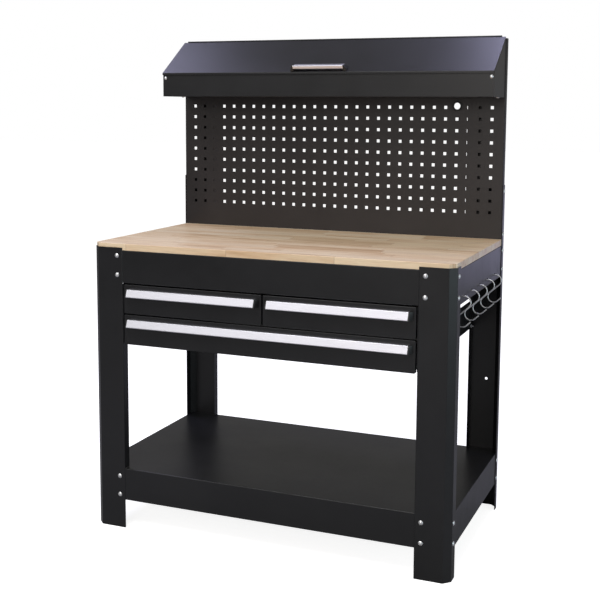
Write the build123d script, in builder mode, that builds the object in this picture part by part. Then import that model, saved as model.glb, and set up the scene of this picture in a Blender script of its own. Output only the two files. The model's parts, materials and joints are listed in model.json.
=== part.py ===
"""Steel workbench: three drawers, a lower shelf, a perforated back panel and a lidded canopy.

Millimetres. +X is the user's right, +Y runs from front to back, +Z is up.
The origin is on the floor, in the middle of the four legs.
"""

from math import atan2, cos, hypot, radians, sin, tan
import os

from build123d import *

# --- Overall size -------------------------------------------------------------------------
WIDTH = 1150
DEPTH = 650
SIDE = WIDTH / 2
FRONT = -DEPTH / 2
BACK = DEPTH / 2

# --- Sheet metal --------------------------------------------------------------------------
LEG_SHEET = 2.0
SHEET = 1.5
TRAY_SHEET = 1.2
BEND = 3.0
SLIP = 0.5

# --- Legs ---------------------------------------------------------------------------------
LEG_FACE = 105
LEG_BEVEL = 20
FRONT_LEG_RETURN = 55
REAR_LEG_RETURN = 46
LEG_LIP = 27
FRONT_LEG_HEIGHT = 892
REAR_LEG_HEIGHT = 1078
WALL_HOLE_X = 526
WALL_HOLE_HEIGHT = 431
WALL_HOLE_RADIUS = 4.5

# --- Worktop, rails and lower shelf ----------------------------------------------------------
BOARD_BOTTOM = 884
BOARD_THICKNESS = 20
RAIL_BOTTOM = 782
RAIL_TOP_FLANGE = 25
RAIL_BOTTOM_FLANGE = 20
RAIL_OVERLAP = 35
SHELF_TOP = 192
SHELF_LIP = 101
STIFFENER_DEPTH = 24

# --- Back panel -----------------------------------------------------------------------------
PANEL_FACE = BACK - 46
PANEL_RETURN = 24.5
PANEL_TOP = 1543
PEG_PITCH = 38
PEG_ROW_PITCH = 37.4
PEG_HOLE = 10
PEG_COLUMNS = 29
PEG_ROWS = 10
PEG_TOP_ROW = 1325
GROMMET_COLUMN = 25
GROMMET_HEIGHT = 1329.5
GROMMET_HOLE = 14.5
GROMMET_BORE = 10.75
GROMMET_RIM = 16.5

# --- Canopy ---------------------------------------------------------------------------------
CANOPY_HALF = SIDE - 4.5
CANOPY_FRONT = FRONT + 442
CANOPY_BOTTOM = 1357
CANOPY_FRONT_TOP = 1430
CANOPY_FLANGE = 20
CANOPY_REAR_BOLT_X = CANOPY_HALF - 11.5
CANOPY_REAR_BOLTS = (1390, 1505)
KNUCKLE_RADIUS = 2.5
HINGE_Y = PANEL_FACE - KNUCKLE_RADIUS
HINGE_Z = 1549
LID_EDGE_Y = FRONT + 437
LID_EDGE_Z = 1436
LID_LIP = 6.5
KNUCKLES = 17
HINGE_LENGTH = 1116
HINGE_PIN_RADIUS = 1.0
HINGE_LEAF = 1.0
HINGE_LEAF_WIDTH = 24

# --- Drawers --------------------------------------------------------------------------------
FRONT_HALF = 465
FRONT_DEPTH = 12
FRONT_GAP = 4
UPPER_ROW = (688.5, 778.5)
LOWER_ROW = (591.5, 684.5)
HOUSING_BOTTOM = 597
HOUSING_STEP = 690
HOUSING_INNER = SIDE - LEG_FACE - SHEET
UPPER_HOUSING_DEPTH = 440
DIVIDER_HALF = 10
SLIDE_THICKNESS = 12.7
SLIDE_HEIGHT = 45
SLIDE_START = FRONT + 28
UPPER_SLIDE = 400
LOWER_SLIDE = 550
PULL_TOP_MARGIN = 12.5

# --- Fasteners ------------------------------------------------------------------------------
BOLT_RADIUS = 3.0
BOLT_HOLE = 3.3
SMALL_BOLT_RADIUS = 2.5
SMALL_BOLT_HOLE = 2.8
BOLT_INSET = 35
BOLT_FACE_X = SIDE - LEG_FACE + 19
RAIL_BOLTS = (867, 807)
SHELF_BOLTS = (167, 107)
PANEL_BOLTS = (1059, 920)
HOUSING_BOLTS = (607, 675)
UPPER_HOUSING_BOLT = 765
HOUSING_BOLT_INSET = 18
SCREW_RADIUS = 2.0
SCREW_HOLE = 2.3

# --- Hooks ----------------------------------------------------------------------------------
HOOK_FIRST = FRONT + 95
HOOK_PITCH = 104
HOOKS = 5
HOOK_WIRE = 2.0
HOOK_HOLE_HEIGHT = 803.7
HOOK_HOLE = 4.5

os.makedirs("parts", exist_ok=True)


# --- Helpers --------------------------------------------------------------------------------
def keep(piece, name):
    """Label a finished piece and write it as one STEP file."""
    piece.part.label = name
    export_step(piece.part, f"parts/{name}.step")


def keep_mirrored(piece, name, plane):
    """Write the mirror image of a piece."""
    with BuildPart() as twin:
        mirror(piece.part, about=plane)
    keep(twin, name)
    return twin


def bent_strip(points, thickness, radius=BEND):
    """Cross-section of a bent sheet: its outer line, thickened to the left of its direction."""
    with BuildSketch(Plane.XY) as section:
        with BuildLine():
            FilletPolyline(*points, radius=radius)
            offset(amount=thickness, side=Side.LEFT)
        make_face()
    return section.sketch


def slab(x, y, z, mode=Mode.ADD):
    """A box from its limits along each axis."""
    centre = ((x[0] + x[1]) / 2, (y[0] + y[1]) / 2, (z[0] + z[1]) / 2)
    with Locations(centre):
        Box(x[1] - x[0], y[1] - y[0], z[1] - z[0], mode=mode)


def drill(points, direction, radius, depth=8):
    """Round holes that start at the points and run against the direction."""
    with Locations(*[Plane(origin=point, z_dir=direction) for point in points]):
        Hole(radius, depth=depth)


# --- Legs -----------------------------------------------------------------------------------
def make_leg(height, side_depth, side_bolts, lip_bolts):
    """A front right leg: an open channel with a bevelled corner and a stiffening lip."""
    inner = SIDE - LEG_FACE
    outline = [
        (inner, FRONT + LEG_LIP),
        (inner, FRONT),
        (SIDE - LEG_BEVEL, FRONT),
        (SIDE, FRONT + LEG_BEVEL),
        (SIDE, FRONT + side_depth),
    ]
    lip_x = (inner - 1, inner + BEND + 1)
    lip_y = (FRONT + LEG_SHEET, FRONT + LEG_LIP + 1)
    with BuildPart() as leg:
        with BuildSketch(Plane.XY):
            add(bent_strip(outline, LEG_SHEET))
        extrude(amount=height)
        slab(lip_x, lip_y, (0, SHELF_TOP + 1), mode=Mode.SUBTRACT)
        slab(lip_x, lip_y, (RAIL_BOTTOM - 2, height), mode=Mode.SUBTRACT)
        drill([(BOLT_FACE_X, FRONT - 1, z) for z in RAIL_BOLTS + SHELF_BOLTS], (0, -1, 0), BOLT_HOLE)
        drill([(SIDE + 1, FRONT + BOLT_INSET, z) for z in side_bolts], (1, 0, 0), BOLT_HOLE)
        lip_points = [(inner - 1, FRONT + HOUSING_BOLT_INSET, z) for z in lip_bolts]
        drill(lip_points, (-1, 0, 0), BOLT_HOLE)
    return leg


leg_front_right = make_leg(
    FRONT_LEG_HEIGHT,
    FRONT_LEG_RETURN,
    RAIL_BOLTS + SHELF_BOLTS,
    HOUSING_BOLTS + (UPPER_HOUSING_BOLT,),
)
keep(leg_front_right, "leg_front_right")
keep_mirrored(leg_front_right, "leg_front_left", Plane.YZ)

rear_pattern = make_leg(
    REAR_LEG_HEIGHT, REAR_LEG_RETURN, PANEL_BOLTS + RAIL_BOLTS + SHELF_BOLTS, HOUSING_BOLTS
)
with BuildPart() as leg_rear_right:
    mirror(rear_pattern.part, about=Plane.XZ)
    drill([(WALL_HOLE_X, BACK + 1, WALL_HOLE_HEIGHT)], (0, 1, 0), WALL_HOLE_RADIUS)
keep(leg_rear_right, "leg_rear_right")
keep_mirrored(leg_rear_right, "leg_rear_left", Plane.YZ)


# --- Aprons and side rails --------------------------------------------------------------------
APRON_SCREWS = (-380, 0, 380)
RAIL_SCREWS = (FRONT + 200, FRONT + 450)
RAIL_SCREW_X = SIDE - LEG_SHEET - 14
FRONT_SCREW_Y = FRONT + 16
REAR_SCREW_Y = FRONT + 594
REAR_APRON_FLANGE = 65


def make_apron(top_flange, screw_y):
    """A channel along X with its web behind the front faces of the front legs."""
    web = FRONT + LEG_SHEET
    half = SIDE - LEG_FACE + RAIL_OVERLAP
    outline = [
        (web + top_flange, BOARD_BOTTOM),
        (web, BOARD_BOTTOM),
        (web, RAIL_BOTTOM),
        (web + RAIL_BOTTOM_FLANGE, RAIL_BOTTOM),
    ]
    bolts = [(side * BOLT_FACE_X, web - 1, z) for side in (-1, 1) for z in RAIL_BOLTS]
    with BuildPart() as apron:
        with BuildSketch(Plane.YZ):
            add(bent_strip(outline, SHEET))
        extrude(amount=half, both=True)
        drill(bolts, (0, -1, 0), BOLT_HOLE)
        drill([(x, screw_y, BOARD_BOTTOM + 1) for x in APRON_SCREWS], (0, 0, 1), SCREW_HOLE)
    return apron


front_apron = make_apron(RAIL_TOP_FLANGE, FRONT_SCREW_Y)
keep(front_apron, "front_apron")
rear_apron_pattern = make_apron(REAR_APRON_FLANGE, -REAR_SCREW_Y)
keep_mirrored(rear_apron_pattern, "rear_apron", Plane.XZ)

with BuildPart() as side_rail_right:
    rail_web = SIDE - LEG_SHEET
    rail_outline = [
        (rail_web - RAIL_BOTTOM_FLANGE, RAIL_BOTTOM),
        (rail_web, RAIL_BOTTOM),
        (rail_web, BOARD_BOTTOM),
        (rail_web - RAIL_TOP_FLANGE, BOARD_BOTTOM),
    ]
    with BuildSketch(Plane.XZ):
        add(bent_strip(rail_outline, SHEET))
    extrude(amount=DEPTH / 2 - 24, both=True)
    rail_bolts = [
        (rail_web + 1, y, z) for y in (FRONT + BOLT_INSET, BACK - BOLT_INSET) for z in RAIL_BOLTS
    ]
    drill(rail_bolts, (1, 0, 0), BOLT_HOLE)
    hook_holes = [(rail_web + 1, HOOK_FIRST + n * HOOK_PITCH, HOOK_HOLE_HEIGHT) for n in range(HOOKS)]
    drill(hook_holes, (1, 0, 0), HOOK_HOLE)
    drill([(RAIL_SCREW_X, y, BOARD_BOTTOM + 1) for y in RAIL_SCREWS], (0, 0, 1), SCREW_HOLE)
keep(side_rail_right, "side_rail_right")
keep_mirrored(side_rail_right, "side_rail_left", Plane.YZ)


# --- Worktop ----------------------------------------------------------------------------------
board_half = SIDE - LEG_SHEET - SLIP
board_front = FRONT + LEG_SHEET + SLIP
board_back = PANEL_FACE - SLIP
board_chamfer = LEG_BEVEL - LEG_SHEET * tan(radians(22.5)) - SLIP * 1.2
SCREW_DEPTH = 15
worktop_screw_spots = (
    [(x, FRONT_SCREW_Y) for x in APRON_SCREWS]
    + [(x, REAR_SCREW_Y) for x in APRON_SCREWS]
    + [(side * RAIL_SCREW_X, y) for side in (-1, 1) for y in RAIL_SCREWS]
)

with BuildPart() as worktop:
    with BuildSketch(Plane.XY.offset(BOARD_BOTTOM)) as board_outline:
        with Locations((0, (board_front + board_back) / 2)):
            Rectangle(2 * board_half, board_back - board_front)
        chamfer(board_outline.vertices().group_by(Axis.Y)[0], length=board_chamfer)
    extrude(amount=BOARD_THICKNESS)
    fillet(worktop.faces().sort_by(Axis.Z)[-1].edges(), radius=1.5)
    pilot_starts = [(x, y, BOARD_BOTTOM - 1) for x, y in worktop_screw_spots]
    drill(pilot_starts, (0, 0, -1), SCREW_RADIUS + 0.05, depth=SCREW_DEPTH + 2)
keep(worktop, "worktop")


# --- Lower shelf --------------------------------------------------------------------------------
shelf_half = SIDE - LEG_SHEET
shelf_edge = BACK - LEG_SHEET
shelf_chamfer = LEG_BEVEL - LEG_SHEET * tan(radians(22.5)) + SLIP

with BuildPart() as lower_shelf:
    with BuildSketch(Plane.XY.offset(SHELF_TOP - SHELF_LIP)) as shelf_outline:
        Rectangle(2 * shelf_half, 2 * shelf_edge)
        chamfer(shelf_outline.vertices(), length=shelf_chamfer)
    extrude(amount=SHELF_LIP)
    fillet(lower_shelf.faces().sort_by(Axis.Z)[-1].edges(), radius=2.5)
    offset(amount=-SHEET, openings=lower_shelf.faces().sort_by(Axis.Z)[0])
    drill(
        [(side * BOLT_FACE_X, FRONT, z) for side in (-1, 1) for z in SHELF_BOLTS],
        (0, -1, 0),
        BOLT_HOLE,
    )
    drill(
        [(side * BOLT_FACE_X, BACK, z) for side in (-1, 1) for z in SHELF_BOLTS],
        (0, 1, 0),
        BOLT_HOLE,
    )
    for side in (-1, 1):
        starts = [
            (side * SIDE, y, z) for y in (FRONT + BOLT_INSET, BACK - BOLT_INSET) for z in SHELF_BOLTS
        ]
        drill(starts, (side, 0, 0), BOLT_HOLE)
keep(lower_shelf, "lower_shelf")

with BuildPart() as shelf_stiffeners:
    for centre in (-DEPTH / 6, DEPTH / 6):
        top = SHELF_TOP - SHEET
        hat = [
            (centre - 35, top - SHEET),
            (centre - 20, top - SHEET),
            (centre - 20, top - STIFFENER_DEPTH),
            (centre + 20, top - STIFFENER_DEPTH),
            (centre + 20, top - SHEET),
            (centre + 35, top - SHEET),
        ]
        with BuildSketch(Plane.YZ):
            add(bent_strip(hat, SHEET, radius=2))
        extrude(amount=shelf_half - 20, both=True)
keep(shelf_stiffeners, "shelf_stiffeners")


# --- Drawer housing --------------------------------------------------------------------------
HOUSING_FLANGE = 18
deck_back = FRONT + UPPER_HOUSING_DEPTH
deck_front = FRONT + FRONT_DEPTH + 6

with BuildPart() as drawer_side_right:
    plate_x = (HOUSING_INNER, HOUSING_INNER + SHEET)
    plate_front = FRONT + LEG_SHEET + 1
    slab(plate_x, (plate_front, BACK - 5), (HOUSING_BOTTOM, HOUSING_STEP))
    slab(plate_x, (plate_front, deck_back), (HOUSING_STEP, RAIL_BOTTOM - SLIP))
    flange_x = (HOUSING_INNER - HOUSING_FLANGE, HOUSING_INNER)
    slab(flange_x, (SLIDE_START, BACK - 40), (HOUSING_BOTTOM, HOUSING_BOTTOM + SHEET))
    starts = [(HOUSING_INNER - 1, FRONT + HOUSING_BOLT_INSET, z) for z in HOUSING_BOLTS]
    starts += [(HOUSING_INNER - 1, BACK - HOUSING_BOLT_INSET, z) for z in HOUSING_BOLTS]
    starts += [(HOUSING_INNER - 1, FRONT + HOUSING_BOLT_INSET, UPPER_HOUSING_BOLT)]
    drill(starts, (-1, 0, 0), BOLT_HOLE)
keep(drawer_side_right, "drawer_side_right")
keep_mirrored(drawer_side_right, "drawer_side_left", Plane.YZ)

with BuildPart() as drawer_deck:
    deck_top = HOUSING_STEP + SHEET
    slab((-HOUSING_INNER, HOUSING_INNER), (deck_front, deck_back), (HOUSING_STEP, deck_top))
    slab((-HOUSING_INNER, HOUSING_INNER), (deck_back - SHEET, deck_back), (deck_top, deck_top + 12))
keep(drawer_deck, "drawer_deck")

with BuildPart() as drawer_divider:
    divider_outline = [
        (DIVIDER_HALF, deck_top),
        (DIVIDER_HALF, RAIL_BOTTOM),
        (-DIVIDER_HALF, RAIL_BOTTOM),
        (-DIVIDER_HALF, deck_top),
    ]
    with BuildSketch(Plane.XZ.offset(-deck_front)):
        add(bent_strip(divider_outline, SHEET))
    extrude(amount=deck_front - deck_back + 2 * SHEET)
keep(drawer_divider, "drawer_divider")


# --- Drawers ------------------------------------------------------------------------------------
PULL_FOOT = 11
PULL_REACH_TOP = 13
PULL_REACH = 22
PULL_HEIGHT = 24
PULL_LIP = 11
PULL_SHEET = 1.6
CAP_THICKNESS = 3.5
CAP_FLARE = 7.5


def make_pull(plane, half_length):
    """A bent aluminium grip; the plane's x runs into the panel, its y points to the pull's top."""
    outline = [
        (0, -PULL_FOOT),
        (0, 0),
        (-PULL_REACH_TOP, 0),
        (-PULL_REACH, -PULL_HEIGHT),
        (-PULL_REACH + PULL_LIP, -PULL_HEIGHT),
    ]
    with BuildPart() as pull:
        with BuildSketch(plane):
            add(bent_strip(outline, PULL_SHEET, radius=2))
        extrude(amount=half_length, both=True)
    return pull


def make_pull_caps(plane, half_length):
    """The two plastic ends of a pull, each flared where it meets the panel."""
    full = [(0, 0), (-PULL_REACH_TOP, 0), (-PULL_REACH, -PULL_HEIGHT), (0, -PULL_HEIGHT)]
    foot = [(0, 0), (-2, 0), (-3, -PULL_HEIGHT), (0, -PULL_HEIGHT)]
    with BuildPart() as caps:
        with BuildSketch(plane.offset(half_length)):
            Polygon(*full, align=None)
        extrude(amount=CAP_THICKNESS)
        with BuildSketch(plane.offset(half_length + CAP_THICKNESS)):
            Polygon(*full, align=None)
        with BuildSketch(plane.offset(half_length + CAP_THICKNESS + CAP_FLARE)):
            Polygon(*foot, align=None)
        loft(ruled=True)
        mirror(about=Plane(origin=plane.origin, z_dir=plane.z_dir))
    return caps


def make_slide(name, anchors, start, length, height):
    """Three nested members of a telescopic slide pair, written as three nodes.

    Each anchor is (x, toward): the fixed wall's face, and the direction from it to the drawer.
    """
    thin = 1.2
    members = {
        "outer": (0, 11.0, SLIDE_HEIGHT / 2),
        "middle": (2.7, 11.3, SLIDE_HEIGHT / 2 - 3.8),
        "inner": (SLIDE_THICKNESS, 4.9, SLIDE_HEIGHT / 2 - 8.3),
    }
    for member, (web, flange, half) in members.items():
        with BuildPart() as piece:
            for x, toward in anchors:
                outline = [
                    (x + toward * flange, height - half),
                    (x + toward * web, height - half),
                    (x + toward * web, height + half),
                    (x + toward * flange, height + half),
                ]
                clockwise = (flange > web) == (toward > 0)
                with BuildSketch(Plane.XZ.offset(-start)):
                    add(bent_strip(outline[::-1] if clockwise else outline, thin, radius=1.5))
                extrude(amount=-length)
        keep(piece, f"{name}_slide_{member}")


def make_drawer(name, front_x, row, anchors, slide_length, tray_z):
    """One drawer: pan front, open tray, grip with its two ends, and its pair of slides."""
    bottom, top = row
    centre_x = (front_x[0] + front_x[1]) / 2
    with BuildPart() as face:
        slab(front_x, (FRONT, FRONT + FRONT_DEPTH), row)
        fillet(face.edges().filter_by(Axis.Y), radius=4)
        fillet(face.faces().sort_by(Axis.Y)[0].edges(), radius=1.5)
        offset(amount=-TRAY_SHEET, openings=face.faces().sort_by(Axis.Y)[-1])
    keep(face, f"{name}_front")

    tray_x = sorted(x + toward * SLIDE_THICKNESS for x, toward in anchors)
    tray_y = (FRONT + FRONT_DEPTH, SLIDE_START + slide_length + 5)
    with BuildPart() as tray:
        slab(tray_x, tray_y, tray_z)
        offset(amount=-TRAY_SHEET, openings=tray.faces().sort_by(Axis.Z)[-1])
    keep(tray, f"{name}_tray")

    pull_plane = Plane(
        origin=(centre_x, FRONT, top - PULL_TOP_MARGIN), x_dir=(0, 1, 0), z_dir=(1, 0, 0)
    )
    half_pull = (front_x[1] - front_x[0]) / 2 - 18.5
    keep(make_pull(pull_plane, half_pull), f"{name}_pull")
    keep(make_pull_caps(pull_plane, half_pull), f"{name}_pull_caps")

    slide_height = (tray_z[0] + tray_z[1]) / 2
    make_slide(name, anchors, SLIDE_START, slide_length, slide_height)


UPPER_TRAY = (697, 765)
LOWER_TRAY = (603, 675)
left_wall = (-HOUSING_INNER, 1)
right_wall = (HOUSING_INNER, -1)

make_drawer(
    "drawer_left",
    (-FRONT_HALF, -FRONT_GAP / 2),
    UPPER_ROW,
    [left_wall, (-DIVIDER_HALF, -1)],
    UPPER_SLIDE,
    UPPER_TRAY,
)
make_drawer(
    "drawer_right",
    (FRONT_GAP / 2, FRONT_HALF),
    UPPER_ROW,
    [(DIVIDER_HALF, 1), right_wall],
    UPPER_SLIDE,
    UPPER_TRAY,
)
make_drawer(
    "drawer_wide",
    (-FRONT_HALF, FRONT_HALF),
    LOWER_ROW,
    [left_wall, right_wall],
    LOWER_SLIDE,
    LOWER_TRAY,
)


# --- Perforated back panel --------------------------------------------------------------------
PANEL_BOTTOM = BOARD_BOTTOM + SLIP
PANEL_FOOT = 20
STIFFENER_REACH = 20
panel_half = SIDE - LEG_SHEET
peg_first_x = -PEG_PITCH * (PEG_COLUMNS - 1) / 2
grommet_x = peg_first_x + PEG_PITCH * GROMMET_COLUMN
peg_spots = [
    (peg_first_x + PEG_PITCH * column, PEG_TOP_ROW - PEG_ROW_PITCH * row)
    for column in range(PEG_COLUMNS)
    for row in range(PEG_ROWS)
    if (column, row) != (GROMMET_COLUMN, 0)
]

with BuildPart() as back_panel:
    panel_outline = [
        (-panel_half, PANEL_FACE + PANEL_RETURN),
        (-panel_half, PANEL_FACE),
        (panel_half, PANEL_FACE),
        (panel_half, PANEL_FACE + PANEL_RETURN),
    ]
    with BuildSketch(Plane.XY.offset(PANEL_BOTTOM)):
        add(bent_strip(panel_outline, SHEET))
    extrude(amount=PANEL_TOP - PANEL_BOTTOM)
    with BuildSketch(Plane.XZ.offset(-PANEL_FACE)):
        with Locations(*peg_spots):
            Rectangle(PEG_HOLE, PEG_HOLE)
        with Locations((grommet_x, GROMMET_HEIGHT)):
            Circle(GROMMET_HOLE)
    extrude(amount=-SHEET, mode=Mode.SUBTRACT)
    foot_x = (-panel_half + BEND, panel_half - BEND)
    foot_y = (PANEL_FACE + SHEET, PANEL_FACE + PANEL_FOOT)
    slab(foot_x, foot_y, (PANEL_BOTTOM, PANEL_BOTTOM + SHEET))
    for side in (-1, 1):
        starts = [(side * SIDE, BACK - BOLT_INSET, z) for z in PANEL_BOLTS]
        drill(starts, (side, 0, 0), BOLT_HOLE)
        starts = [(side * CANOPY_REAR_BOLT_X, PANEL_FACE - 1, z) for z in CANOPY_REAR_BOLTS]
        drill(starts, (0, -1, 0), SMALL_BOLT_HOLE)
keep(back_panel, "back_panel")

with BuildPart() as panel_stiffener_right:
    contact = PANEL_FACE + SHEET
    web = contact + STIFFENER_REACH
    hat = [
        (452.5, contact),
        (474, contact),
        (474, web),
        (514, web),
        (514, contact),
        (524, contact),
    ]
    with BuildSketch(Plane.XY.offset(PANEL_BOTTOM + 8)):
        add(bent_strip(hat, SHEET, radius=1.2))
    extrude(amount=PANEL_TOP - PANEL_BOTTOM - 12)
keep(panel_stiffener_right, "panel_stiffener_right")
keep_mirrored(panel_stiffener_right, "panel_stiffener_left", Plane.YZ)

with BuildPart() as cable_grommet:
    groove = 0.1
    with BuildSketch(Plane.XY):
        with Locations(((GROMMET_BORE + GROMMET_RIM) / 2, 0)):
            RectangleRounded(GROMMET_RIM - GROMMET_BORE, 8, 1.5)
        with Locations((GROMMET_HOLE - groove + 2.5, 0)):
            Rectangle(5, SHEET + groove, mode=Mode.SUBTRACT)
    revolve(axis=Axis.Y)
    grommet_ring = cable_grommet.part
with BuildPart() as placed_grommet:
    with Locations((grommet_x, PANEL_FACE + SHEET / 2, GROMMET_HEIGHT)):
        add(grommet_ring)
keep(placed_grommet, "cable_grommet")


# --- Canopy -------------------------------------------------------------------------------------
lid_rise = HINGE_Z - LID_EDGE_Z
lid_run = HINGE_Y - LID_EDGE_Y
lid_angle = atan2(lid_rise, lid_run)
lid_length = hypot(lid_run, lid_rise)
lid_clear = 1.0
canopy_inner = CANOPY_HALF - SHEET
front_back = CANOPY_FRONT + SHEET
CANOPY_BOLT_X = SIDE - 13
CANOPY_BOLT_Z = 1419
BASE_BOLT_X = SIDE - 17
BASE_BOLT_Y = FRONT + 560


def lid_height(y, depth):
    """Height of the plane that lies depth below the lid's outer face, at y."""
    return HINGE_Z - (HINGE_Y - y) * tan(lid_angle) - depth / cos(lid_angle)


with BuildPart() as canopy_side_right:
    under_lid = SHEET + lid_clear
    crest_y = HINGE_Y - (lid_height(HINGE_Y, under_lid) - PANEL_TOP) / tan(lid_angle)
    side_outline = [
        (front_back, CANOPY_BOTTOM),
        (PANEL_FACE, CANOPY_BOTTOM),
        (PANEL_FACE, PANEL_TOP),
        (crest_y, PANEL_TOP),
        (front_back, lid_height(front_back, under_lid)),
    ]
    with BuildSketch(Plane.YZ.offset(canopy_inner)):
        Polygon(*side_outline, align=None)
    extrude(amount=SHEET)
    flange_x = (canopy_inner - CANOPY_FLANGE, canopy_inner)
    slab(flange_x, (front_back, front_back + SHEET), (CANOPY_BOTTOM + SHEET, CANOPY_FRONT_TOP - 2))
    flange_y = (front_back + 4, PANEL_FACE - 4)
    slab(flange_x, flange_y, (CANOPY_BOTTOM + SHEET, CANOPY_BOTTOM + 2 * SHEET))
    drill([(CANOPY_BOLT_X, CANOPY_FRONT, CANOPY_BOLT_Z)], (0, -1, 0), SMALL_BOLT_HOLE)
    drill([(BASE_BOLT_X, BASE_BOLT_Y, CANOPY_BOTTOM)], (0, 0, -1), SMALL_BOLT_HOLE)
    flange_z = (CANOPY_BOTTOM + 2 * SHEET + 4, HINGE_Z - HINGE_LEAF_WIDTH - 3)
    slab(flange_x, (PANEL_FACE - SHEET, PANEL_FACE), flange_z)
    starts = [(CANOPY_REAR_BOLT_X, PANEL_FACE - SHEET - 1, z) for z in CANOPY_REAR_BOLTS]
    drill(starts, (0, -1, 0), SMALL_BOLT_HOLE)
keep(canopy_side_right, "canopy_side_right")
keep_mirrored(canopy_side_right, "canopy_side_left", Plane.YZ)

with BuildPart() as canopy_front:
    slab(
        (-CANOPY_HALF, CANOPY_HALF), (CANOPY_FRONT, front_back), (CANOPY_BOTTOM, CANOPY_FRONT_TOP)
    )
    slab(
        (-canopy_inner + SLIP, canopy_inner - SLIP),
        (front_back, front_back + 18),
        (CANOPY_FRONT_TOP - SHEET, CANOPY_FRONT_TOP),
    )
    fillet(canopy_front.faces().sort_by(Axis.Y)[0].edges().filter_by(Axis.X), radius=1.2)
    starts = [(side * CANOPY_BOLT_X, CANOPY_FRONT - 1, CANOPY_BOLT_Z) for side in (-1, 1)]
    drill(starts, (0, -1, 0), SMALL_BOLT_HOLE)
keep(canopy_front, "canopy_front")

with BuildPart() as canopy_base:
    slab((-canopy_inner, canopy_inner), (front_back, PANEL_FACE), (CANOPY_BOTTOM, CANOPY_BOTTOM + SHEET))
    slab(
        (-canopy_inner + CANOPY_FLANGE + 5, canopy_inner - CANOPY_FLANGE - 5),
        (PANEL_FACE - SHEET, PANEL_FACE),
        (CANOPY_BOTTOM + SHEET, CANOPY_BOTTOM + 22),
    )
    starts = [(side * BASE_BOLT_X, BASE_BOLT_Y, CANOPY_BOTTOM - 1) for side in (-1, 1)]
    drill(starts, (0, 0, -1), SMALL_BOLT_HOLE)
keep(canopy_base, "canopy_base")

slope = (0, -cos(lid_angle), -sin(lid_angle))
outward = (0, -sin(lid_angle), cos(lid_angle))


def on_lid(down, out):
    """Point (y, z) that lies down the lid from the hinge axis and out from its outer face."""
    return (
        HINGE_Y + down * slope[1] + out * outward[1],
        HINGE_Z + down * slope[2] + out * outward[2],
    )


with BuildPart() as lid:
    lid_outline = [
        on_lid(KNUCKLE_RADIUS + 0.7, 0),
        (LID_EDGE_Y, LID_EDGE_Z),
        (LID_EDGE_Y, LID_EDGE_Z - LID_LIP),
    ]
    with BuildSketch(Plane.YZ):
        add(bent_strip(lid_outline, SHEET, radius=2))
    extrude(amount=CANOPY_HALF, both=True)
keep(lid, "lid")

handle_top = lid_length - 3 - PULL_HEIGHT
handle_plane = Plane(
    origin=(0, *on_lid(handle_top, 0)),
    x_dir=(0, -outward[1], -outward[2]),
    z_dir=(1, 0, 0),
)
LID_HANDLE_HALF = 86
keep(make_pull(handle_plane, LID_HANDLE_HALF), "lid_handle")
keep(make_pull_caps(handle_plane, LID_HANDLE_HALF), "lid_handle_caps")


# --- Lid hinge ------------------------------------------------------------------------------------
knuckle_pitch = HINGE_LENGTH / KNUCKLES
knuckle_gap = 0.4
bore = HINGE_PIN_RADIUS + 0.05


def make_leaf(first, direction):
    """A hinge leaf against the sheet that it joins, with every second knuckle from the first."""
    across = Vector(0, *direction)
    plane = Plane(origin=(0, HINGE_Y, HINGE_Z), x_dir=across, z_dir=(1, 0, 0))
    down = -1 if plane.y_dir.Z > 0 else 1
    with BuildPart() as leaf:
        near = KNUCKLE_RADIUS + 0.7
        with BuildSketch(plane):
            with Locations(((near + HINGE_LEAF_WIDTH) / 2, down * (KNUCKLE_RADIUS - HINGE_LEAF / 2))):
                Rectangle(HINGE_LEAF_WIDTH - near, HINGE_LEAF)
        extrude(amount=HINGE_LENGTH / 2, both=True)
        for index in range(first, KNUCKLES, 2):
            start = -HINGE_LENGTH / 2 + index * knuckle_pitch + knuckle_gap / 2
            with BuildSketch(plane.offset(start)):
                Circle(KNUCKLE_RADIUS)
                with Locations((near / 2, down * (KNUCKLE_RADIUS - HINGE_LEAF / 2))):
                    Rectangle(near, HINGE_LEAF)
                Circle(bore, mode=Mode.SUBTRACT)
            extrude(amount=knuckle_pitch - knuckle_gap)
    return leaf


keep(make_leaf(0, (0, -1)), "lid_hinge_fixed_leaf")
keep(make_leaf(1, slope[1:]), "lid_hinge_moving_leaf")

with BuildPart() as lid_hinge_pin:
    with BuildSketch(Plane.YZ):
        with Locations((HINGE_Y, HINGE_Z)):
            Circle(HINGE_PIN_RADIUS)
    extrude(amount=HINGE_LENGTH / 2, both=True)
keep(lid_hinge_pin, "lid_hinge_pin")


# --- Hooks ----------------------------------------------------------------------------------------
HOOK_RADIUS = 17.5
HOOK_HALF_STEM = 20
HOOK_UPPER_TIP = 12
HOOK_LOWER_TIP = 16
HOOK_STEM_ANGLE = 42
HOOK_DROP = 45
HOOK_LEAN = 1.6


def make_half_hook(middle, tip):
    """One bow of a hook, from the hook's middle to its end."""
    with BuildPart() as half:
        with BuildLine(Plane(origin=middle, x_dir=(1, 0, 0), z_dir=(0, -1, 0))) as path:
            stem = PolarLine((0, 0), HOOK_HALF_STEM, HOOK_STEM_ANGLE)
            bow = JernArc(stem @ 1, stem % 1, HOOK_RADIUS, 180)
            Line(bow @ 1, (bow @ 1) + (bow % 1) * tip)
        with BuildSketch(Plane(origin=middle, z_dir=stem % 0)):
            Circle(HOOK_WIRE)
        sweep(path=path.line)
    return half.part


def make_hook(y):
    """An S-shaped wire hook; its upper bow rests in its hole and its middle leans outwards."""
    middle_x = SIDE - LEG_SHEET - SHEET / 2 + HOOK_LEAN
    middle = Vector(middle_x, y, HOOK_HOLE_HEIGHT - HOOK_DROP)
    with BuildPart() as hook:
        add(make_half_hook(middle, HOOK_UPPER_TIP))
        add(make_half_hook(middle, HOOK_LOWER_TIP).rotate(Axis(middle, (0, 1, 0)), 180))
    return hook


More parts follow.
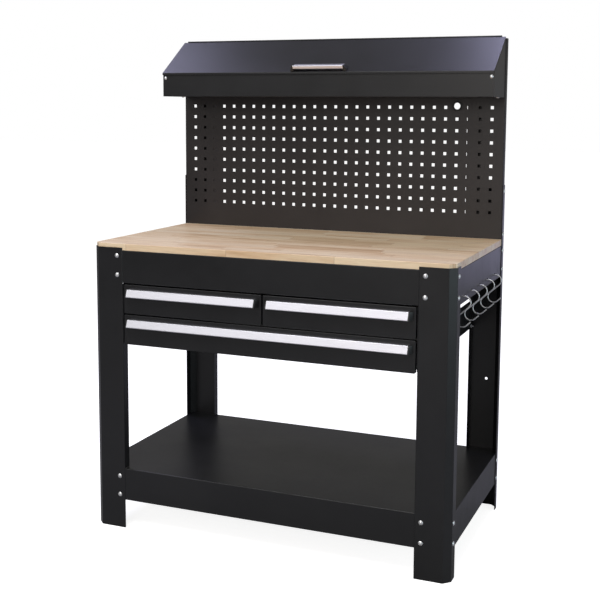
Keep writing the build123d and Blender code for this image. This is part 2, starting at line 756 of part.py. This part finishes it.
for number in range(HOOKS):
    keep(make_hook(HOOK_FIRST + number * HOOK_PITCH), f"hook_{number + 1}")


# --- Fasteners --------------------------------------------------------------------------------
HEAD_RADIUS = 7
HEAD_HEIGHT = 3.6
SMALL_HEAD_RADIUS = 5.7
SMALL_HEAD_HEIGHT = 2.9
BOLT_LENGTH = 14
NUT_HEIGHT = 5
NUT_RADIUS = 5.77
SMALL_NUT_HEIGHT = 4
SMALL_NUT_RADIUS = 4.62
grip = LEG_SHEET + SHEET


def make_bolt(radius, head_radius, head_height):
    """A bolt with a domed head above the plane z = 0 and its shank below."""
    dome = (head_radius**2 + head_height**2) / (2 * head_height)
    with BuildPart() as bolt:
        with BuildSketch(Plane.XZ):
            with BuildLine():
                Line((0, head_height), (0, -BOLT_LENGTH))
                Line((0, -BOLT_LENGTH), (radius, -BOLT_LENGTH))
                Line((radius, -BOLT_LENGTH), (radius, 0))
                Line((radius, 0), (head_radius, 0))
                RadiusArc((head_radius, 0), (0, head_height), -dome)
            make_face()
        revolve(axis=Axis.Z)
    return bolt


def make_nut(radius, bolt_radius, height):
    """A hexagonal nut that hangs below the plane z = 0."""
    with BuildPart() as nut:
        with BuildSketch(Plane.XY):
            RegularPolygon(radius, 6)
            Circle(bolt_radius + 0.05, mode=Mode.SUBTRACT)
        extrude(amount=-height)
        chamfer(nut.faces().sort_by(Axis.Z)[0].outer_wire().edges(), length=0.5)
    return nut


frame_bolt = make_bolt(BOLT_RADIUS, HEAD_RADIUS, HEAD_HEIGHT)
frame_nut = make_nut(NUT_RADIUS, BOLT_RADIUS, NUT_HEIGHT)
small_bolt = make_bolt(SMALL_BOLT_RADIUS, SMALL_HEAD_RADIUS, SMALL_HEAD_HEIGHT)
small_nut = make_nut(SMALL_NUT_RADIUS, SMALL_BOLT_RADIUS, SMALL_NUT_HEIGHT)


def bolt_planes(points, direction):
    """Seats for bolt heads: each plane's z is the direction that the head faces."""
    return [Plane(origin=point, z_dir=direction) for point in points]


frame_seats = []
for side in (-1, 1):
    frame_seats += bolt_planes(
        [(side * BOLT_FACE_X, FRONT, z) for z in RAIL_BOLTS + SHELF_BOLTS], (0, -1, 0)
    )
    frame_seats += bolt_planes(
        [(side * BOLT_FACE_X, BACK, z) for z in RAIL_BOLTS + SHELF_BOLTS], (0, 1, 0)
    )
    frame_seats += bolt_planes(
        [(side * SIDE, FRONT + BOLT_INSET, z) for z in RAIL_BOLTS + SHELF_BOLTS], (side, 0, 0)
    )
    rear_heights = PANEL_BOLTS + RAIL_BOLTS + SHELF_BOLTS
    frame_seats += bolt_planes(
        [(side * SIDE, BACK - BOLT_INSET, z) for z in rear_heights], (side, 0, 0)
    )
    housing_points = [
        (side * HOUSING_INNER, FRONT + HOUSING_BOLT_INSET, z)
        for z in HOUSING_BOLTS + (UPPER_HOUSING_BOLT,)
    ]
    housing_points += [(side * HOUSING_INNER, BACK - HOUSING_BOLT_INSET, z) for z in HOUSING_BOLTS]
    frame_seats += bolt_planes(housing_points, (-side, 0, 0))

with BuildPart() as frame_bolts:
    with Locations(*frame_seats):
        add(frame_bolt.part)
keep(frame_bolts, "frame_bolts")

with BuildPart() as frame_nuts:
    with Locations(*[seat.offset(-grip) for seat in frame_seats]):
        add(frame_nut.part)
keep(frame_nuts, "frame_nuts")

canopy_seats = []
for side in (-1, 1):
    canopy_seats += bolt_planes([(side * CANOPY_BOLT_X, CANOPY_FRONT, CANOPY_BOLT_Z)], (0, -1, 0))
    canopy_seats += bolt_planes([(side * BASE_BOLT_X, BASE_BOLT_Y, CANOPY_BOTTOM)], (0, 0, -1))
    rear_points = [
        (side * CANOPY_REAR_BOLT_X, PANEL_FACE - SHEET, z) for z in CANOPY_REAR_BOLTS
    ]
    canopy_seats += bolt_planes(rear_points, (0, -1, 0))

with BuildPart() as canopy_bolts:
    with Locations(*canopy_seats):
        add(small_bolt.part)
    with Locations(*[seat.offset(-2 * SHEET) for seat in canopy_seats]):
        add(small_nut.part)
keep(canopy_bolts, "canopy_bolts")

with BuildPart() as worktop_screws:
    for x, y in worktop_screw_spots:
        with BuildSketch(Plane.XY.offset(BOARD_BOTTOM - SHEET)):
            with Locations((x, y)):
                Circle(SCREW_RADIUS * 2)
        extrude(amount=-2.2)
        with BuildSketch(Plane.XY.offset(BOARD_BOTTOM - SHEET)):
            with Locations((x, y)):
                Circle(SCREW_RADIUS)
        extrude(amount=SHEET + SCREW_DEPTH)
keep(worktop_screws, "worktop_screws")
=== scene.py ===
"""Studio scene for the workbench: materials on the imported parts, a pale floor, soft lights, a camera."""

import json
import math

import bpy
from mathutils import Matrix, Vector

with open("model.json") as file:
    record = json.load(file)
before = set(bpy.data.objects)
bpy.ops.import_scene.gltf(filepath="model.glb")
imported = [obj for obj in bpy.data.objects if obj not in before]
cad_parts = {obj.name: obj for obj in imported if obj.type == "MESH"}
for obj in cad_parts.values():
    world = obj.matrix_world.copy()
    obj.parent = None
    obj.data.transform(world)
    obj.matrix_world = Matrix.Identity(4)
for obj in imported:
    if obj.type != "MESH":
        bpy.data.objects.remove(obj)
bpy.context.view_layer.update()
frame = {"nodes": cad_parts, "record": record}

# --- Colours, in linear red, green and blue ------------------------------------------------------
POWDER = (0.0064, 0.0066, 0.0079)
PANEL_POWDER = (0.0148, 0.0117, 0.0120)
HINGE_POWDER = (0.008, 0.008, 0.0085)
WORN_EDGE = (0.06, 0.06, 0.065)
BRIGHT_ZINC = (0.93, 0.94, 0.96)
WIRE_ZINC = (0.93, 0.95, 0.97)
DULL_ZINC = (0.60, 0.61, 0.64)
ALUMINIUM_LINE = (0.72, 0.72, 0.79)
ALUMINIUM_FACE = (0.88, 0.88, 0.95)
BLACK_PLASTIC = (0.012, 0.012, 0.013)
BLACK_RUBBER = (0.010, 0.010, 0.010)

# The board: its figure as stops of a ramp, its palest and darkest blocks, fibres, pores and joints.
FIGURE = (
    (0.30, (0.665, 0.425, 0.230)),
    (0.44, (0.850, 0.615, 0.390)),
    (0.58, (0.950, 0.760, 0.525)),
    (0.74, (0.805, 0.565, 0.340)),
)
PALE_BLOCK = (0.970, 0.825, 0.620)
DARK_BLOCK = (0.560, 0.340, 0.175)
FIBRE = (0.36, 0.185, 0.080)
PORE = (0.26, 0.13, 0.055)
JOINT = (0.22, 0.11, 0.045)

# --- Heights of the surface textures and the width of worn edges, in metres ----------------------
ORANGE_PEEL = 0.00008
ZINC_GRAIN = 0.00003
DRAWN_LINES = 0.00002
SPARK_GRAIN = 0.00004
OPEN_GRAIN = 0.00010
WORN_WIDTH = 0.0012

# --- The board's build: sizes in metres, the joints and the stagger as shares of a stave or block --
STAVE = 0.044
BLOCK = 0.34
GRAIN_OFFSET = (3.0, 3.0, 3.0)
STAVE_JOINT = 0.010
BLOCK_JOINT = 0.0016
BLOCK_STAGGER = 3.7


# --- Node graph helpers --------------------------------------------------------------------------
class Graph:
    """A short way to write a material's nodes."""

    def __init__(self, name):
        self.material = bpy.data.materials.new(name)
        self.material.use_nodes = True
        self.tree = self.material.node_tree
        self.tree.nodes.clear()
        self.shader = self.tree.nodes.new("ShaderNodeBsdfPrincipled")
        output = self.tree.nodes.new("ShaderNodeOutputMaterial")
        self.tree.links.new(self.shader.outputs[0], output.inputs["Surface"])

    def node(self, kind, links=None, **settings):
        """Adds a node; links maps its inputs to values or to other nodes' sockets."""
        made = self.tree.nodes.new(kind)
        for key, value in settings.items():
            setattr(made, key, value)
        for key, value in (links or {}).items():
            self.set(made.inputs[key], value)
        return made

    def set(self, socket, value):
        if isinstance(value, bpy.types.NodeSocket):
            self.tree.links.new(value, socket)
        else:
            socket.default_value = value

    def shade(self, **sockets):
        """Sets the main shader's inputs by name, with underscores for spaces."""
        for key, value in sockets.items():
            self.set(self.shader.inputs[key.replace("_", " ")], value)

    def stretch(self, vector, scale):
        """The same coordinates, multiplied by the scale along each axis."""
        return self.node("ShaderNodeMapping", {"Vector": vector, "Scale": scale}).outputs[0]

    def coords(self, scale=(1, 1, 1)):
        """Object coordinates in metres, stretched."""
        return self.stretch(self.node("ShaderNodeTexCoord").outputs["Object"], scale)

    def noise(self, vector, scale, detail=2.0, roughness=0.5):
        made = self.node(
            "ShaderNodeTexNoise",
            {"Vector": vector, "Scale": scale, "Detail": detail, "Roughness": roughness},
        )
        return made.outputs["Fac"]

    def maths(self, operation, a, b=0.0, clamp=False):
        made = self.node("ShaderNodeMath", operation=operation, use_clamp=clamp)
        for socket, value in zip(made.inputs, (a, b)):
            self.set(socket, value)
        return made.outputs[0]

    def remap(self, value, low, high, to_low, to_high):
        made = self.node(
            "ShaderNodeMapRange",
            {"Value": value, "From Min": low, "From Max": high, "To Min": to_low, "To Max": to_high},
        )
        return made.outputs[0]

    def ramp(self, value, stops):
        """A colour ramp; each stop is a place from 0 to 1 and a colour."""
        made = self.node("ShaderNodeValToRGB", {"Fac": value})
        ramp = made.color_ramp
        while len(ramp.elements) < len(stops):
            ramp.elements.new(0.5)
        for element, (place, colour) in zip(ramp.elements, stops):
            element.position = place
            element.color = (*colour, 1)
        return made.outputs["Color"]

    def mix(self, factor, a, b):
        """Mixes two colours, which are tuples or other nodes' sockets."""
        made = self.node("ShaderNodeMix", data_type="RGBA")
        self.set(made.inputs[0], factor)
        for socket, value in ((made.inputs[6], a), (made.inputs[7], b)):
            self.set(socket, (*value, 1) if isinstance(value, tuple) else value)
        return made.outputs[2]

    def bump(self, height, distance, strength):
        links = {"Height": height, "Distance": distance, "Strength": strength}
        return self.node("ShaderNodeBump", links).outputs[0]

    def edges(self, radius):
        """0 on flat faces, rising to 1 on arrises."""
        bevel = self.node("ShaderNodeBevel", {"Radius": radius}, samples=4)
        plain = self.node("ShaderNodeNewGeometry").outputs["Normal"]
        dot = self.node("ShaderNodeVectorMath", operation="DOT_PRODUCT")
        self.set(dot.inputs[0], bevel.outputs[0])
        self.set(dot.inputs[1], plain)
        return self.remap(dot.outputs["Value"], 1.0, 0.85, 0.0, 1.0)


# --- Materials -----------------------------------------------------------------------------------
def tint(colour, factor, lift=0.0):
    """A lighter or darker form of a colour."""
    return tuple(channel * factor + lift for channel in colour)


def powder_coat(name, colour, roughness):
    """Satin powder coat: fine orange peel, handling dust and thinly worn arrises."""
    g = Graph(name)
    place = g.coords()
    cloud = g.noise(place, 5.0, 4.0, 0.6)
    speck = g.noise(place, 1100.0, 1.0)
    peel = g.noise(place, 380.0, 2.0, 0.55)
    scuff = g.noise(g.coords(scale=(30.0, 30.0, 4.0)), 3.0, 4.0, 0.7)
    dusty = tint(colour, 1.35, 0.0006)
    fleck = tint(colour, 2.2, 0.002)
    base = g.mix(g.remap(cloud, 0.35, 0.70, 0.0, 1.0), colour, dusty)
    base = g.mix(g.remap(speck, 0.62, 0.80, 0.0, 0.5), base, fleck)
    rubbed = g.remap(scuff, 0.45, 0.75, 0.25, 1.0)
    worn = g.maths("MULTIPLY", g.edges(WORN_WIDTH), rubbed, clamp=True)
    base = g.mix(g.maths("MULTIPLY", worn, 0.35), base, WORN_EDGE)
    rough = g.remap(cloud, 0.3, 0.7, roughness - 0.02, roughness + 0.04)
    rough = g.maths("ADD", rough, g.remap(scuff, 0.55, 0.8, 0.0, 0.06))
    g.shade(Base_Color=base, Roughness=rough, Normal=g.bump(peel, ORANGE_PEEL, 0.5))
    g.shade(IOR=1.5, Specular_IOR_Level=0.5)
    return g.material


def plated(name, colour, roughness, grain_scale):
    """Zinc plate: metallic with a fine mottled grain."""
    g = Graph(name)
    mottle = g.noise(g.coords(), grain_scale, 3.0, 0.6)
    g.shade(
        Base_Color=g.mix(mottle, tint(colour, 0.82), colour),
        Metallic=1.0,
        Roughness=g.remap(mottle, 0.3, 0.7, roughness - 0.06, roughness + 0.08),
        Normal=g.bump(mottle, ZINC_GRAIN, 0.4),
    )
    return g.material


def drawn_aluminium(name):
    """Satin anodised aluminium with fine lines along its length."""
    g = Graph(name)
    lines = g.noise(g.coords(scale=(2.0, 700.0, 700.0)), 3.0, 3.0, 0.6)
    g.shade(
        Base_Color=g.mix(lines, ALUMINIUM_LINE, ALUMINIUM_FACE),
        Metallic=1.0,
        Roughness=g.remap(lines, 0.3, 0.7, 0.30, 0.42),
        Normal=g.bump(lines, DRAWN_LINES, 0.35),
    )
    return g.material


def moulded_plastic(name, colour, roughness):
    """Black plastic with a fine spark-eroded texture."""
    g = Graph(name)
    place = g.coords()
    grain = g.noise(place, 1500.0, 2.0)
    patch = g.noise(place, 30.0, 2.0)
    g.shade(
        Base_Color=g.mix(patch, colour, tint(colour, 1.3)),
        Roughness=g.remap(grain, 0.3, 0.7, roughness - 0.05, roughness + 0.07),
        Normal=g.bump(grain, SPARK_GRAIN, 0.5),
    )
    return g.material


def board(name):
    """Finger-jointed pale hardwood: staves along X made of shorter blocks, under satin lacquer."""
    g = Graph(name)
    place = g.coords()
    axes = g.node("ShaderNodeSeparateXYZ", {"Vector": place})
    across = g.maths("DIVIDE", axes.outputs["Y"], STAVE)
    stave = g.maths("FLOOR", across)
    shift = g.node("ShaderNodeTexWhiteNoise", {"W": stave}, noise_dimensions="1D").outputs["Value"]
    stagger = g.maths("MULTIPLY", shift, BLOCK_STAGGER)
    along = g.maths("ADD", g.maths("DIVIDE", axes.outputs["X"], BLOCK), stagger)
    block = g.maths("FLOOR", along)
    cell = g.node("ShaderNodeCombineXYZ", {"X": block, "Y": stave})
    tone = g.node("ShaderNodeTexWhiteNoise", {"Vector": cell.outputs[0]}, noise_dimensions="2D")
    shade = tone.outputs["Value"]
    offset = g.node("ShaderNodeVectorMath", operation="MULTIPLY_ADD")
    for socket, value in zip(offset.inputs, (tone.outputs["Color"], GRAIN_OFFSET, place)):
        g.set(socket, value)
    own_place = offset.outputs[0]

    figure = g.noise(g.stretch(own_place, (1.3, 11.0, 11.0)), 2.6, 3.0, 0.55)
    fibre = g.noise(g.stretch(own_place, (6.0, 240.0, 240.0)), 2.0, 4.0, 0.65)
    pore = g.noise(g.stretch(own_place, (45.0, 900.0, 900.0)), 1.0, 2.0)
    colour = g.ramp(figure, FIGURE)
    colour = g.mix(g.remap(shade, 0.45, 1.0, 0.0, 0.62), colour, PALE_BLOCK)
    colour = g.mix(g.remap(shade, 0.0, 0.30, 0.42, 0.0), colour, DARK_BLOCK)
    colour = g.mix(g.remap(fibre, 0.50, 0.72, 0.0, 0.30), colour, FIBRE)
    colour = g.mix(g.remap(pore, 0.62, 0.78, 0.0, 0.35), colour, PORE)

    def line(value, width):
        """1 in a thin line at every whole number."""
        part = g.maths("FRACT", value)
        distance = g.maths("MINIMUM", part, g.maths("SUBTRACT", 1.0, part))
        return g.maths("LESS_THAN", distance, width)

    joints = g.maths("MAXIMUM", line(across, STAVE_JOINT), line(along, BLOCK_JOINT))
    height = g.maths("SUBTRACT", fibre, g.maths("MULTIPLY", joints, 0.6))
    g.shade(
        Base_Color=g.mix(g.maths("MULTIPLY", joints, 0.5), colour, JOINT),
        Roughness=g.remap(figure, 0.3, 0.7, 0.34, 0.46),
        Normal=g.bump(height, OPEN_GRAIN, 0.35),
        Coat_Weight=0.20,
        Coat_Roughness=0.25,
    )
    return g.material


BY_SLOT = {
    "powder_black": powder_coat("powder_coat", POWDER, 0.34),
    "powder_panel": powder_coat("panel_coat", PANEL_POWDER, 0.42),
    "hinge_black": powder_coat("hinge_black", HINGE_POWDER, 0.45),
    "zinc": plated("zinc", BRIGHT_ZINC, 0.40, 260.0),
    "hook_steel": plated("wire_zinc", WIRE_ZINC, 0.44, 260.0),
    "slide_steel": plated("slide_zinc", DULL_ZINC, 0.34, 120.0),
    "grip_aluminium": drawn_aluminium("satin_aluminium"),
    "end_plastic": moulded_plastic("black_plastic", BLACK_PLASTIC, 0.42),
    "grommet_rubber": moulded_plastic("black_rubber", BLACK_RUBBER, 0.62),
    "board_wood": board("lacquered_board"),
}
slot_of = {row["node"]: row["material_slot"] for row in frame["record"]["subparts"]}
for name, piece in frame["nodes"].items():
    piece.data.materials.clear()
    piece.data.materials.append(BY_SLOT[slot_of[name]])

# --- Floor and room ------------------------------------------------------------------------------
FLOOR_HALF = 30.0
FLOOR_GREY = (0.40, 0.40, 0.40)
FLOOR_WHITE = (0.80, 0.80, 0.80)
FLOOR_GLOW = 0.86
WHITE = (1, 1, 1)
ROOM_WHITE = (1, 0.98, 0.95)
ROOM_LIGHT = 0.25
floor_mesh = bpy.data.meshes.new("floor")
floor_mesh.from_pydata(
    [(x * FLOOR_HALF, y * FLOOR_HALF, 0) for x, y in ((-1, -1), (1, -1), (1, 1), (-1, 1))],
    [],
    [(0, 1, 2, 3)],
)
floor = bpy.data.objects.new("floor", floor_mesh)
bpy.context.scene.collection.objects.link(floor)


def by_ray(tree, seen, other):
    """Shows the first shader to the camera and the second one to reflections and bounces."""
    path = tree.nodes.new("ShaderNodeLightPath")
    mix = tree.nodes.new("ShaderNodeMixShader")
    tree.links.new(path.outputs["Is Camera Ray"], mix.inputs[0])
    tree.links.new(other, mix.inputs[1])
    tree.links.new(seen, mix.inputs[2])
    return mix.outputs[0]


def shader(tree, kind, colour, **values):
    """A shader of one colour, with its other inputs by name."""
    made = tree.nodes.new(kind)
    made.inputs["Color"].default_value = (*colour, 1)
    for key, value in values.items():
        made.inputs[key].default_value = value
    return made.outputs[0]


paper = bpy.data.materials.new("paper")
paper.use_nodes = True
tree = paper.node_tree
tree.nodes.clear()
pale = tree.nodes.new("ShaderNodeAddShader")
tree.links.new(shader(tree, "ShaderNodeBsdfDiffuse", FLOOR_WHITE), pale.inputs[0])
tree.links.new(shader(tree, "ShaderNodeEmission", WHITE, Strength=FLOOR_GLOW), pale.inputs[1])
grey = shader(tree, "ShaderNodeBsdfDiffuse", FLOOR_GREY)
tree.links.new(
    by_ray(tree, pale.outputs[0], grey),
    tree.nodes.new("ShaderNodeOutputMaterial").inputs["Surface"],
)
floor_mesh.materials.append(paper)

world = bpy.data.worlds.new("studio")
world.use_nodes = True
tree = world.node_tree
tree.nodes.clear()
tree.links.new(
    by_ray(
        tree,
        shader(tree, "ShaderNodeBackground", WHITE, Strength=1.0),
        shader(tree, "ShaderNodeBackground", ROOM_WHITE, Strength=ROOM_LIGHT),
    ),
    tree.nodes.new("ShaderNodeOutputWorld").inputs["Surface"],
)
bpy.context.scene.world = world
bpy.context.scene.view_settings.view_transform = "Standard"


# --- Lights: each has its place and target in metres, its width and height, and its radiance ------
def softbox(name, at, target, size, radiance, colour):
    """A rectangular light aimed at a point, as bright as its radiance says."""
    data = bpy.data.lights.new(name, "AREA")
    data.shape = "RECTANGLE"
    data.size, data.size_y = size
    data.energy = radiance * math.pi * size[0] * size[1]
    data.color = colour
    lamp = bpy.data.objects.new(name, data)
    lamp.location = at
    lamp.rotation_mode = "QUATERNION"
    lamp.rotation_quaternion = (Vector(target) - Vector(at)).to_track_quat("-Z", "Y")
    bpy.context.scene.collection.objects.link(lamp)


COOL = (0.68, 0.67, 1.0)
WARM = (1.0, 0.95, 0.90)
TEAL = (0.76, 0.94, 1.0)
NEUTRAL = (1.0, 0.99, 0.98)
CENTRE = (0, 0, 0.8)
softbox("top_left", (-2.8, 1.1, 4.0), (-0.6, 0.2, 1.4), (1.3, 1.6), 6.4, COOL)
softbox("top_right", (0.5, 1.3, 4.0), (0.5, 0.2, 1.4), (1.0, 1.3), 8.6, COOL)
softbox("front_top", (-0.6, -2.6, 4.6), CENTRE, (3.4, 2.0), 5.0, NEUTRAL)
softbox("front_left", (-2.6, -4.2, 3.0), CENTRE, (3.0, 1.8), 1.0, NEUTRAL)
softbox("front", (0.5, -6.2, 2.2), CENTRE, (2.6, 2.6), 3.2, WARM)
softbox("right", (4.6, -0.6, 1.0), CENTRE, (2.0, 1.6), 2.8, TEAL)
softbox("right_rear", (1.9, 5.0, 0.45), CENTRE, (2.0, 0.9), 0.9, COOL)

# --- Camera: its place in metres, angles in degrees, lens and sensor in millimetres ---------------
CAMERA_AT = (1.2515, -3.1035, 1.3235)
CAMERA_TURN = 22.15
CAMERA_DOWN = 6.61
CAMERA_ROLL = 0.33
CAMERA_LENS = 63.66
CAMERA_SENSOR = 36
CAMERA_SHIFT = (-0.0009, -0.1167)
camera_data = bpy.data.cameras.new("camera")
camera_data.lens = CAMERA_LENS
camera_data.sensor_width = CAMERA_SENSOR
camera_data.shift_x, camera_data.shift_y = CAMERA_SHIFT
camera = bpy.data.objects.new("camera", camera_data)
camera.matrix_world = (
    Matrix.Translation(CAMERA_AT)
    @ Matrix.Rotation(math.radians(CAMERA_TURN), 4, "Z")
    @ Matrix.Rotation(math.radians(90 - CAMERA_DOWN), 4, "X")
    @ Matrix.Rotation(math.radians(CAMERA_ROLL), 4, "Z")
)
bpy.context.scene.collection.objects.link(camera)
bpy.context.scene.camera = camera
